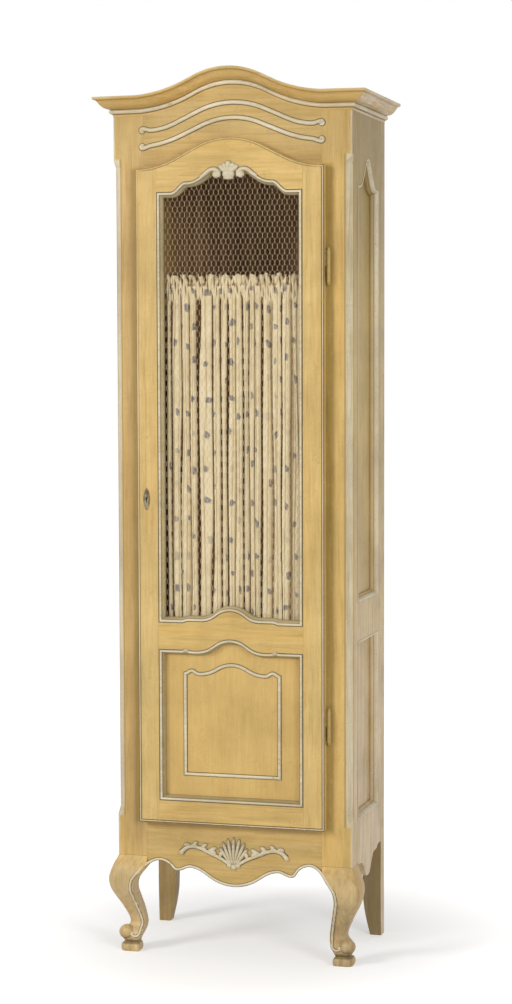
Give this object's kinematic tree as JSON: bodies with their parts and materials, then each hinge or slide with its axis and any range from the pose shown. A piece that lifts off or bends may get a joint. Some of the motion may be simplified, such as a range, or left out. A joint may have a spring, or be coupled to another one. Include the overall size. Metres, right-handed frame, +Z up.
{
  "type": "bonnetiere cabinet",
  "caption": "Tall, narrow linen cupboard with an arched cornice, a hinged door of wire net over a gathered curtain, and cabriole front legs.",
  "frame": {"origin": "on the floor, below the middle of the overall width and depth", "axes": "+Z up, front of the cabinet faces -Y, +X to the right of a viewer who faces the front"},
  "size_m": [0.694, 0.396, 2.219],
  "materials": {
    "ochre_paint": "satin glazed paint, crackled",
    "cream_paint": "satin glazed paint",
    "inner_paint": "matt paint",
    "dark_wood": "matt stained wood",
    "brass": "aged, part painted over",
    "wire": "aged wire",
    "cloth": "matt printed cotton"
  },
  "bodies": {
    "cabinet": {"apron_bead": "cream_paint", "apron_carving": "cream_paint", "back_board_1": "dark_wood", "back_board_2": "dark_wood", "back_bottom_rail": "ochre_paint", "cornice_front": "ochre_paint", "cornice_left": "ochre_paint", "cornice_right": "ochre_paint", "floor_board": "inner_paint", "frieze_board": "ochre_paint", "frieze_scroll_lower": "cream_paint", "frieze_scroll_upper": "cream_paint", "front_apron": "ochre_paint", "front_leg_left": "ochre_paint", "front_leg_right": "ochre_paint", "front_post_left": "ochre_paint", "front_post_right": "ochre_paint", "hinge_pin_lower": "brass", "hinge_pin_upper": "brass", "rear_post_left": "ochre_paint", "rear_post_right": "ochre_paint", "shelf_1": "inner_paint", "shelf_2": "inner_paint", "shelf_3": "inner_paint", "shelf_cleats_left": "inner_paint", "shelf_cleats_right": "inner_paint", "side_bottom_rail_left": "ochre_paint", "side_bottom_rail_right": "ochre_paint", "side_lower_moulding_left": "cream_paint", "side_lower_moulding_right": "cream_paint", "side_lower_panel_left": "ochre_paint", "side_lower_panel_right": "ochre_paint", "side_middle_rail_left": "ochre_paint", "side_middle_rail_right": "ochre_paint", "side_top_rail_left": "ochre_paint", "side_top_rail_right": "ochre_paint", "side_upper_moulding_left": "cream_paint", "side_upper_moulding_right": "cream_paint", "side_upper_panel_left": "ochre_paint", "side_upper_panel_right": "ochre_paint", "strike_plate": "brass", "top_board": "ochre_paint"},
    "door": {"curtain": "cloth", "curtain_rod_lower": "brass", "curtain_rod_upper": "brass", "door_bottom_rail": "ochre_paint", "door_middle_rail": "ochre_paint", "door_panel": "ochre_paint", "door_stile_hinge": "ochre_paint", "door_stile_lock": "ochre_paint", "door_top_rail": "ochre_paint", "hinge_knuckle_lower": "brass", "hinge_knuckle_upper": "brass", "key_plate": "brass", "lock_case": "brass", "opening_rim": "cream_paint", "panel_frame": "cream_paint", "panel_rim": "cream_paint", "wire_net": "wire"},
    "bolt": {"lock_bolt": "brass"}
  },
  "joints": [
    {"name": "door_hinge", "type": "hinge", "parent": "cabinet", "child": "door", "pos_m": [0.249, -0.167, 1.166], "axis": [0, 0, 1], "range_deg": [0, 150]},
    {"name": "bolt_throw", "type": "slide", "parent": "door", "child": "bolt", "axis": [-1, 0, 0], "range_m": [0, 0.008]}
  ]
}
